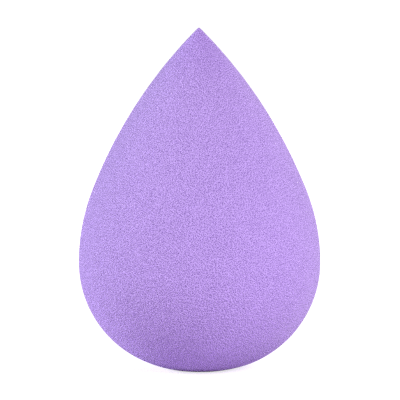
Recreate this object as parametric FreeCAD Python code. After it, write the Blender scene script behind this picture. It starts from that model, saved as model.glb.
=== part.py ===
"""Makeup sponge: one teardrop of fine open-cell foam, ground round about its long axis.

All sizes are millimetres. +Z runs up the long axis to the tip, and the origin is the centre of
the small flat that the sponge stands on.
"""

import FreeCAD, Part

import math
import os

# Overall sizes
height = 60.0             # from the standing flat to the top of the tip
diameter = 42.5           # across the widest ring
widest_height = 18.8      # of the widest ring above the standing flat

# Tip
tip_radius = 0.3          # of the small ball that ends the tip
tip_half_angle = 45.0     # degrees, from the axis to the flank where it leaves the ball

# Fullness: the flank and the round end are two tangent arcs each, and the longer its reach,
# the more of the outline the first arc of the pair takes
flank_reach = 17.4        # down the flank from the tip ball to the corner that the first arc rounds
belly_reach = 14.3        # straight down from the widest ring to the corner that the first arc rounds

# Standing flat
flat_depth = 0.5          # of the slice that is missing from the round end
cut_overrun = 2.0         # by which a cutting tool passes what it cuts

# Faces: no stretch of the outline that turns into one face is longer than this
span_length = 10.0

UP = FreeCAD.Vector(0, 0, 1)
DOWN = FreeCAD.Vector(0, 0, -1)
INWARD = FreeCAD.Vector(-1, 0, 0)


def at(radius, level):
    """A point of the half outline, this far from the axis and above the standing flat."""
    return FreeCAD.Vector(radius, 0, level)


def rounded(start, corner, end):
    """Edges of the arc that leaves start towards the corner and comes to end from it."""
    middle = (start + end) * 0.5
    cosine = (middle - start).Length / (corner - start).Length
    crown = middle + (corner - middle) * (cosine / (1 + cosine))
    arc = Part.Arc(start, crown, end)
    spans = math.ceil(arc.toShape().Length / span_length)
    step = (arc.LastParameter - arc.FirstParameter) / spans
    starts = [arc.FirstParameter + step * span for span in range(spans)]
    return [arc.toShape(first, first + step) for first in starts]


def tangent_pair(start, leaving, end, arriving, reach):
    """Edges of two arcs, tangent to each other and to both directions. The first has this reach.

    The corners that the arcs round are as far apart as both reaches together, which gives the
    second reach.
    """
    chord = end - start
    spare = chord.dot(chord) - 2 * reach * chord.dot(leaving)
    second_reach = spare / (2 * chord.dot(arriving) + 2 * reach * (1 - leaving.dot(arriving)))
    first_corner = start + leaving * reach
    second_corner = end - arriving * second_reach
    share = reach / (reach + second_reach)
    join = first_corner + (second_corner - first_corner) * share
    return rounded(start, first_corner, join) + rounded(join, second_corner, end)


def half_outline():
    """The closed half outline of the whole teardrop, before the standing flat is cut."""
    half_angle = math.radians(tip_half_angle)
    down_the_flank = at(math.sin(half_angle), -math.cos(half_angle))
    ball_centre = height - tip_radius

    top = at(0, height)
    ball_corner = at(tip_radius * math.tan((math.pi / 2 - half_angle) / 2), height)
    ball_end = at(tip_radius * math.cos(half_angle), ball_centre + tip_radius * math.sin(half_angle))
    ring = at(diameter / 2, widest_height)
    bottom = at(0, -flat_depth)

    ball = rounded(top, ball_corner, ball_end)
    flank = tangent_pair(ball_end, down_the_flank, ring, DOWN, flank_reach)
    belly = tangent_pair(ring, DOWN, bottom, INWARD, belly_reach)
    axis = Part.LineSegment(bottom, top).toShape()
    return Part.Wire(ball + flank + belly + [axis])


def foam_body():
    """The teardrop turned about its axis, with its round end cut flat at the origin."""
    teardrop = Part.Face(half_outline()).revolve(FreeCAD.Vector(), UP, 360)
    slice_height = flat_depth + cut_overrun
    missing_slice = Part.makeCylinder(diameter / 2, slice_height, UP * -slice_height)
    return teardrop.cut(missing_slice)


os.makedirs("parts", exist_ok=True)
body = foam_body()
body.exportStep("parts/foam_body.step")
print("foam body: valid", body.isValid(), "solids", len(body.Solids), "volume", round(body.Volume, 1))
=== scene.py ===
"""Makeup sponge: a lilac teardrop of fine open-cell foam, standing on a pale studio floor.

Lengths are in metres. The camera looks along +Y, with +X to its right.
"""

import math

import bpy
import numpy as np
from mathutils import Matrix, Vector, noise

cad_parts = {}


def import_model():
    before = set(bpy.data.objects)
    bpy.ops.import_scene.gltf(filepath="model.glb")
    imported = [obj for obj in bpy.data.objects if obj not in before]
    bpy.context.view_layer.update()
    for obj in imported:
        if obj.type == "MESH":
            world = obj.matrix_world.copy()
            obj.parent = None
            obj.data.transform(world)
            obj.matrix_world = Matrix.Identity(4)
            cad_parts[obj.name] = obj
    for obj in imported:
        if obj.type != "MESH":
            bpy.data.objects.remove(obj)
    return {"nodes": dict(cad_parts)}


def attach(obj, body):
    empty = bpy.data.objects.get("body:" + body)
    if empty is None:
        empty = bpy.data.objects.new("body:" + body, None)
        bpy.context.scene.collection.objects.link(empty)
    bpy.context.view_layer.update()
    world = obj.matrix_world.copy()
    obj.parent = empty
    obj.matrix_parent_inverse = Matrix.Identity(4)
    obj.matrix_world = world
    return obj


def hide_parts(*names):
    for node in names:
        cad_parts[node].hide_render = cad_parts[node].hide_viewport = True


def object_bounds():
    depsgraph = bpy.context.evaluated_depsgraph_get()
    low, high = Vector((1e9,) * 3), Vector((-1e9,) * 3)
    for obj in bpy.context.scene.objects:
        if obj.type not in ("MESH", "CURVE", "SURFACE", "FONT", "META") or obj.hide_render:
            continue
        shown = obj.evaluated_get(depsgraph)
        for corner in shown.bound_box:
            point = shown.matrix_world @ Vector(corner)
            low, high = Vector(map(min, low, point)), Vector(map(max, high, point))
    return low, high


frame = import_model()
cad_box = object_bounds()

MM = 0.001

# Mesh of the foam
mesh_frequency = 100            # edges along each side of the 20 triangles that the sphere starts as
merge_digits = 6                # decimals to which the points that two of these share agree
outline_step = 0.02 * MM        # each way along the outline, over which its direction is taken
level_tolerance = 0.001 * MM    # within which a point counts as lying on the standing flat

# Relief: how the ground foam departs from a true turned teardrop
lean = 0.17 * MM                # of the tip to the left
lean_pivot_share = 0.3          # of the height, where the lean moves nothing
swell_size, swell_depth = 16 * MM, 0.05 * MM
lump_size, lump_depth = 2.4 * MM, 0.012 * MM
pit_pitch, pit_depth = 0.62 * MM, 0.045 * MM
pit_reach_share = 0.55          # of the pitch, out to which a pit spreads
relief_fade = 1 * MM            # above the standing flat, over which the relief sets in

# Foam material
pore_pitch, pore_radius = 0.30 * MM, 0.07 * MM
pore_rim = 0.07 * MM            # width over which a pore's edge fades into the wall
hollow_slope = 0.45             # of the side of the hollow round each cell's middle
mottle_size, mottle_strength = 3.2 * MM, 0.03
mottle_detail, mottle_roughness = 3.0, 0.6
mottle_low, mottle_high = 0.3, 0.7          # of the noise, from the darkest mottling to the palest
wall_colour = (0.601, 0.404, 0.949)
pore_colour = (0.170, 0.075, 0.380)
tip_tint = (0.945, 0.900, 1.0)  # the colour grows a little darker and deeper towards the tip
tip_reach = 12 * MM             # down from the tip, over which the tint fades out
foam_roughness, foam_specular = 0.92, 0.2
sheen, sheen_roughness, sheen_tint = 0.30, 0.5, (0.78, 0.66, 1.0)

# Studio
soft_light = 0.10               # strength of the light from all round
floor_reach, floor_turns = 12.0, 96         # radius of the floor's disc, and corners round it
floor_level = -0.02 * MM        # just under the standing flat
floor_colour = (0.80, 0.71, 0.80)
near_reach, far_reach = 0.3, 1.0            # from the sponge, between which the floor's glow grows
near_glow, far_glow = 0.72, 0.96            # added to what is seen of the floor, to bring it to white
lamp_distance = 0.8
lamp_aim = Vector((0, 0, 30 * MM))
softbox_width = 0.5
low_softbox, tall_softbox = 0.22, 0.30      # heights of the two sizes of softbox

# Camera
elevation = math.radians(5)
distance = 0.500
frame_width = 70.3 * MM         # that the picture takes in at the sponge's axis
sensor_width = 36
aim = Vector((0.07 * MM, 0, 29.74 * MM))
clip_start, clip_end = 10 * MM, 2 * floor_reach


def outline():
    """Radius and level along the half outline, from the centre of the flat to the tip."""
    mesh = frame["nodes"]["foam_body"].data
    points = np.array([v.co for v in mesh.vertices])
    radius = np.hypot(points[:, 0], points[:, 1])
    order = np.argsort(points[:, 2])
    radius, level = radius[order], points[order, 2]
    above = level > level_tolerance
    flat_radius = radius[~above].max()
    return np.r_[0, flat_radius, radius[above]], np.r_[0, 0, level[above]]


def icosahedron():
    """Corners, one of them at the top, and the 20 triangles."""
    ring_level = 1 / math.sqrt(5)
    ring_radius = 2 / math.sqrt(5)
    upper = [math.tau * turn / 5 for turn in range(5)]
    lower = [math.tau * (turn + 0.5) / 5 for turn in range(5)]
    corners = [(0, 0, 1)]
    corners += [(ring_radius * math.cos(a), ring_radius * math.sin(a), ring_level) for a in upper]
    corners += [(ring_radius * math.cos(a), ring_radius * math.sin(a), -ring_level) for a in lower]
    corners += [(0, 0, -1)]
    triangles = []
    for turn in range(5):
        following = (turn + 1) % 5
        triangles.append((0, 1 + turn, 1 + following))
        triangles.append((1 + turn, 6 + turn, 1 + following))
        triangles.append((1 + following, 6 + turn, 6 + following))
        triangles.append((11, 6 + following, 6 + turn))
    return np.array(corners), triangles


def geodesic(frequency):
    """Unit directions and triangles of an icosahedron whose edges are divided evenly."""
    corners, triangles = icosahedron()
    rows, columns = np.meshgrid(range(frequency + 1), range(frequency + 1), indexing="ij")
    inside = rows + columns <= frequency
    rows, columns = rows[inside], columns[inside]
    index = np.zeros((frequency + 2, frequency + 2), int)
    index[rows, columns] = range(len(rows))
    upright = [(r, c) for r, c in zip(rows, columns) if r + c < frequency]
    inverted = [(r, c) for r, c in upright if r + c < frequency - 1]
    pattern = np.array(
        [(index[r, c], index[r + 1, c], index[r, c + 1]) for r, c in upright]
        + [(index[r + 1, c], index[r + 1, c + 1], index[r, c + 1]) for r, c in inverted]
    )
    along, across = rows[:, None] / frequency, columns[:, None] / frequency
    points, faces = [], []
    for a, b, c in triangles:
        faces.append(pattern + len(rows) * len(points))
        points.append(corners[a] * (1 - along - across) + corners[b] * along + corners[c] * across)
    points, faces = np.vstack(points), np.vstack(faces)
    points /= np.linalg.norm(points, axis=1)[:, None]
    rounded = points.round(merge_digits)
    _, first, shared = np.unique(rounded, axis=0, return_index=True, return_inverse=True)
    return points[first], shared.reshape(-1)[faces]


def wrapped(directions):
    """Points and outward normals on the teardrop for directions on a sphere, evenly by area."""
    radius, level = outline()
    run = np.hypot(np.diff(radius), np.diff(level))
    length = np.r_[0, np.cumsum(run)]
    area = np.r_[0, np.cumsum(run * (radius[1:] + radius[:-1]))]
    place = np.interp((1 + directions[:, 2]) / 2 * area[-1], area, length)

    def at(along):
        return np.interp(along, length, radius), np.interp(along, length, level)

    r, z = at(place)
    (r_after, z_after), (r_before, z_before) = at(place + outline_step), at(place - outline_step)
    tangent_r, tangent_z = r_after - r_before, z_after - z_before
    size = np.hypot(tangent_r, tangent_z)
    across = np.hypot(directions[:, 0], directions[:, 1])
    across[across == 0] = 1     # on the axis, where the radius is nothing
    cosine, sine = directions[:, 0] / across, directions[:, 1] / across
    points = np.c_[r * cosine, r * sine, z]
    normals = np.c_[tangent_z * cosine, tangent_z * sine, -tangent_r] / size[:, None]
    return points, normals


def relief(point):
    """How far the foam stands proud of the true teardrop at this point."""
    swell = noise.noise(point / swell_size)
    lump = noise.noise(point / lump_size)
    distances, _ = noise.voronoi(point / pit_pitch)
    pit = max(0.0, 1 - distances[0] / pit_reach_share) ** 2
    return swell * swell_depth + lump * lump_depth - pit * pit_depth


def sponge():
    """The sponge: the teardrop of the frame with the foam's own relief."""
    directions, faces = geodesic(mesh_frequency)
    points, normals = wrapped(directions)
    depth = np.array([relief(Vector(point)) for point in points])
    depth *= np.clip(points[:, 2] / relief_fade, 0, 1)
    points += normals * depth[:, None]
    points[:, 0] -= lean * (points[:, 2] / cad_box[1].z - lean_pivot_share)
    points[:, 2] = np.clip(points[:, 2], 0, cad_box[1].z)
    mesh = bpy.data.meshes.new("foam_teardrop")
    mesh.from_pydata(points.tolist(), [], faces.tolist())
    mesh.polygons.foreach_set("use_smooth", [True] * len(mesh.polygons))
    mesh.update()
    piece = bpy.data.objects.new("foam_teardrop", mesh)
    bpy.context.scene.collection.objects.link(piece)
    return piece


class Shade:
    """Adds and links the nodes of one material or world."""

    def __init__(self, owner):
        owner.use_nodes = True
        self.tree = owner.node_tree
        self.tree.nodes.clear()

    def node(self, kind, inputs=None, **settings):
        """A new node. Inputs that are sockets of other nodes are linked, and the rest are set."""
        made = self.tree.nodes.new(kind)
        for key, value in settings.items():
            setattr(made, key, value)
        for key, value in (inputs or {}).items():
            socket = made.inputs[key]
            if isinstance(value, bpy.types.NodeSocket):
                self.tree.links.new(value, socket)
            else:
                socket.default_value = value
        return made

    def maths(self, operation, first, second=0.0):
        """Result of a Math node."""
        return self.node("ShaderNodeMath", {0: first, 1: second}, operation=operation).outputs[0]

    def vector(self, operation, inputs):
        """Outputs of a Vector Math node."""
        return self.node("ShaderNodeVectorMath", inputs, operation=operation).outputs

    def ranged(self, value, low, high, start=0.0, end=1.0):
        """Start where the value is low, end where it is high, and an even ease between them."""
        inputs = {"Value": value, "From Min": low, "From Max": high, "To Min": start, "To Max": end}
        return self.node("ShaderNodeMapRange", inputs, interpolation_type="SMOOTHSTEP").outputs[0]

    def mixed(self, share, first, second, blend_type="MIX"):
        """Two colours mixed. The node's colours are its inputs 6 and 7 and its output 2."""
        inputs = {0: share, 6: first, 7: second}
        return self.node("ShaderNodeMix", inputs, data_type="RGBA", blend_type=blend_type).outputs[2]


def cell_distances(shade, place, normal):
    """Distance to the middle of the nearest foam cell, along the surface and in all, in metres."""
    scaled = shade.vector("SCALE", {0: place, "Scale": 1 / pore_pitch})[0]
    cells = shade.node("ShaderNodeTexVoronoi", {"Vector": scaled, "Scale": 1.0}).outputs
    away = shade.vector("SUBTRACT", {0: scaled, 1: cells["Position"]})[0]
    depth = shade.vector("DOT_PRODUCT", {0: away, 1: normal})["Value"]
    whole = shade.vector("DOT_PRODUCT", {0: away, 1: away})["Value"]
    flat = shade.maths("SUBTRACT", whole, shade.maths("MULTIPLY", depth, depth))
    along = shade.maths("SQRT", shade.maths("MAXIMUM", flat, 0.0))
    return (
        shade.maths("MULTIPLY", along, pore_pitch),
        shade.maths("MULTIPLY", cells["Distance"], pore_pitch),
    )


def foam_material():
    """Open-cell foam: a hollow for each cell, with a dark mouth, and soft large mottling."""
    material = bpy.data.materials.new("foam")
    shade = Shade(material)
    own = shade.node("ShaderNodeTexCoord").outputs
    place, normal = own["Object"], own["Normal"]
    along, hollow = cell_distances(shade, place, normal)
    wall = shade.ranged(along, pore_radius - pore_rim / 2, pore_radius + pore_rim / 2)
    mottle = shade.node(
        "ShaderNodeTexNoise",
        {
            "Vector": place,
            "Scale": 1 / mottle_size,
            "Detail": mottle_detail,
            "Roughness": mottle_roughness,
        },
    ).outputs["Fac"]
    mottle = shade.ranged(mottle, mottle_low, mottle_high, -mottle_strength, mottle_strength)
    share = shade.maths("ADD", wall, mottle)
    colour = shade.mixed(share, (*pore_colour, 1), (*wall_colour, 1))
    level = shade.node("ShaderNodeSeparateXYZ", {0: place}).outputs["Z"]
    # The colour grows a little darker and deeper towards the tip
    near_tip = shade.ranged(level, cad_box[1].z - tip_reach, cad_box[1].z)
    colour = shade.mixed(near_tip, colour, (*tip_tint, 1), blend_type="MULTIPLY")
    bump = shade.node(
        "ShaderNodeBump",
        {"Height": hollow, "Strength": 1.0, "Distance": hollow_slope},
    ).outputs["Normal"]
    foam = shade.node(
        "ShaderNodeBsdfPrincipled",
        {
            "Base Color": colour,
            "Roughness": foam_roughness,
            "Specular IOR Level": foam_specular,
            "Sheen Weight": sheen,
            "Sheen Roughness": sheen_roughness,
            "Sheen Tint": (*sheen_tint, 1),
            "Normal": bump,
        },
    )
    shade.node("ShaderNodeOutputMaterial", {"Surface": foam.outputs[0]})
    return material


def seen(shade):
    """1 for the camera's rays and those that gloss or glass passes on, and 0 for the rest."""
    rays = shade.node("ShaderNodeLightPath").outputs
    passed_on = shade.maths("MAXIMUM", rays["Is Glossy Ray"], rays["Is Transmission Ray"])
    return shade.maths("MAXIMUM", rays["Is Camera Ray"], passed_on)


def floor_material():
    """Pale floor that is seen as white, apart from the shadow on it."""
    material = bpy.data.materials.new("floor")
    shade = Shade(material)
    matt = shade.node("ShaderNodeBsdfDiffuse", {"Color": (*floor_colour, 1)})
    place = shade.node("ShaderNodeTexCoord").outputs["Object"]
    away = shade.vector("LENGTH", {0: place})["Value"]
    strength = shade.ranged(away, near_reach, far_reach, near_glow, far_glow)
    strength = shade.maths("MULTIPLY", strength, seen(shade))
    glow = shade.node("ShaderNodeEmission", {"Color": (1, 1, 1, 1), "Strength": strength})
    both = shade.node("ShaderNodeAddShader", {0: matt.outputs[0], 1: glow.outputs[0]})
    shade.node("ShaderNodeOutputMaterial", {"Surface": both.outputs[0]})
    return material


def floor():
    """A wide flat disc that the sponge stands on."""
    angles = [math.tau * turn / floor_turns for turn in range(floor_turns)]
    rim = [(floor_reach * math.cos(a), floor_reach * math.sin(a), floor_level) for a in angles]
    mesh = bpy.data.meshes.new("studio_floor")
    mesh.from_pydata(rim, [], [list(range(floor_turns))])
    mesh.materials.append(floor_material())
    piece = bpy.data.objects.new("studio_floor", mesh)
    bpy.context.scene.collection.objects.link(piece)


def world():
    """Soft light from all round, which is seen as plain white."""
    made = bpy.data.worlds.new("studio")
    shade = Shade(made)
    soft = shade.node("ShaderNodeBackground", {"Color": (1, 1, 1, 1), "Strength": soft_light})
    white = shade.node("ShaderNodeBackground", {"Color": (1, 1, 1, 1), "Strength": 1.0})
    both = shade.node("ShaderNodeMixShader", {0: seen(shade), 1: soft.outputs[0], 2: white.outputs[0]})
    shade.node("ShaderNodeOutputWorld", {"Surface": both.outputs[0]})
    bpy.context.scene.world = made


def softbox(name, azimuth, height_angle, power, colour=(1, 1, 1), height=low_softbox):
    """A soft light aimed at the sponge. Azimuth 0 stands by the camera, 90 at its right."""
    light = bpy.data.lights.new(name, "AREA")
    light.shape = "RECTANGLE"
    light.size, light.size_y = softbox_width, height
    light.energy = power
    light.color = colour
    a, e = math.radians(azimuth), math.radians(height_angle)
    back = Vector((math.sin(a) * math.cos(e), -math.cos(a) * math.cos(e), math.sin(e)))
    lamp = bpy.data.objects.new(name, light)
    lamp.location = lamp_aim + back * lamp_distance
    lamp.rotation_mode = "QUATERNION"
    lamp.rotation_quaternion = back.to_track_quat("Z", "Y")
    lamp.visible_camera = False
    bpy.context.scene.collection.objects.link(lamp)


def lights():
    """Soft light from the left and the front right, and weaker light from behind."""
    softbox("left", azimuth=-88, height_angle=14, power=4.48, colour=(0.942, 1.0, 0.962))
    softbox("left_back", azimuth=-120, height_angle=12, power=1.39, colour=(0.76, 0.88, 1.0))
    softbox("right_front", azimuth=36, height_angle=26, power=5.26, height=tall_softbox)
    softbox("right_back", azimuth=135, height_angle=5, power=2.10)
    softbox("back", azimuth=180, height_angle=25, power=2.0, height=tall_softbox)


def camera():
    """The camera, a little above the sponge's middle, at the photograph's angle."""
    lens = bpy.data.cameras.new("camera")
    lens.sensor_width = sensor_width
    lens.lens = sensor_width * distance / frame_width
    lens.clip_start, lens.clip_end = clip_start, clip_end
    made = bpy.data.objects.new("camera", lens)
    back = Vector((0, -math.cos(elevation), math.sin(elevation)))
    made.location = aim + back * distance
    made.rotation_mode = "QUATERNION"
    made.rotation_quaternion = back.to_track_quat("Z", "Y")
    bpy.context.scene.collection.objects.link(made)
    bpy.context.scene.camera = made


foam = sponge()
foam.data.materials.append(foam_material())
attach(foam, "root")
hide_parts("foam_body")

floor()
world()
lights()
camera()
bpy.context.scene.view_settings.view_transform = "Standard"
# The denoiser would wipe out the foam's fine grain
bpy.context.scene.cycles.use_denoising = False
